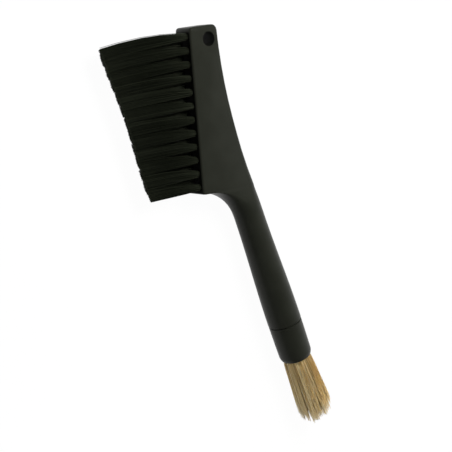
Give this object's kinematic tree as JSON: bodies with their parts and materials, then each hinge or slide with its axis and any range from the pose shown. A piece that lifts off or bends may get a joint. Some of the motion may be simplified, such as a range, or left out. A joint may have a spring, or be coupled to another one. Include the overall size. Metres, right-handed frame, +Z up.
{
  "type": "coffee grinder brush",
  "caption": "Two-ended cleaning brush: long black nylon bristles on a flat leaning head, and a screw-on tip of natural hair at the end of the round handle.",
  "frame": {"origin": "the middle of the underside of the box round the whole brush as it lies on its side", "axes": "+X along the handle's axis from the hair tip to the head, +Y towards the nylon tips, +Z up from the side that it lies on"},
  "size_m": [0.2428, 0.0684, 0.0187],
  "materials": {
    "black_plastic": "fine matt moulded texture with a soft sheen",
    "black_nylon": "drawn nylon filament, satin",
    "anchor_brass": "drawn flat wire",
    "insert_brass": "turned and knurled",
    "seal_rubber": "moulded rubber, matt",
    "natural_hair": "fair natural hair with darker streaks",
    "amber_resin": "set resin, glossy"
  },
  "bodies": {
    "brush_body": {"handle_body": "black_plastic", "threaded_insert": "insert_brass", "tuft_near_01": "black_nylon", "tuft_near_02": "black_nylon", "tuft_near_03": "black_nylon", "tuft_near_04": "black_nylon", "tuft_near_05": "black_nylon", "tuft_near_06": "black_nylon", "tuft_near_07": "black_nylon", "tuft_near_08": "black_nylon", "tuft_near_09": "black_nylon", "tuft_near_10": "black_nylon", "tuft_near_11": "black_nylon", "tuft_near_12": "black_nylon", "tuft_far_01": "black_nylon", "tuft_far_02": "black_nylon", "tuft_far_03": "black_nylon", "tuft_far_04": "black_nylon", "tuft_far_05": "black_nylon", "tuft_far_06": "black_nylon", "tuft_far_07": "black_nylon", "tuft_far_08": "black_nylon", "tuft_far_09": "black_nylon", "tuft_far_10": "black_nylon", "tuft_far_11": "black_nylon", "anchor_near_01": "anchor_brass", "anchor_near_02": "anchor_brass", "anchor_near_03": "anchor_brass", "anchor_near_04": "anchor_brass", "anchor_near_05": "anchor_brass", "anchor_near_06": "anchor_brass", "anchor_near_07": "anchor_brass", "anchor_near_08": "anchor_brass", "anchor_near_09": "anchor_brass", "anchor_near_10": "anchor_brass", "anchor_near_11": "anchor_brass", "anchor_near_12": "anchor_brass", "anchor_far_01": "anchor_brass", "anchor_far_02": "anchor_brass", "anchor_far_03": "anchor_brass", "anchor_far_04": "anchor_brass", "anchor_far_05": "anchor_brass", "anchor_far_06": "anchor_brass", "anchor_far_07": "anchor_brass", "anchor_far_08": "anchor_brass", "anchor_far_09": "anchor_brass", "anchor_far_10": "anchor_brass", "anchor_far_11": "anchor_brass"},
    "seal": {"sealing_ring": "seal_rubber"},
    "tip": {"tip_ferrule": "black_plastic", "resin_plug": "amber_resin", "hair_bundle": "natural_hair"}
  },
  "joints": [
    {"name": "tip_draw", "type": "slide", "parent": "brush_body", "child": "seal", "axis": [-1, 0, 0], "range_m": [0, 0.0115]},
    {"name": "tip_turn", "type": "hinge", "parent": "seal", "child": "tip", "pos_m": [-0.05996, -0.01996, 0.00935], "axis": [-1, 0, 0], "range_deg": [0, 1260]}
  ],
  "couplings": [
    {"joint": "tip_draw", "follows": "tip_turn", "m_per_rad": 0.0005093}
  ]
}
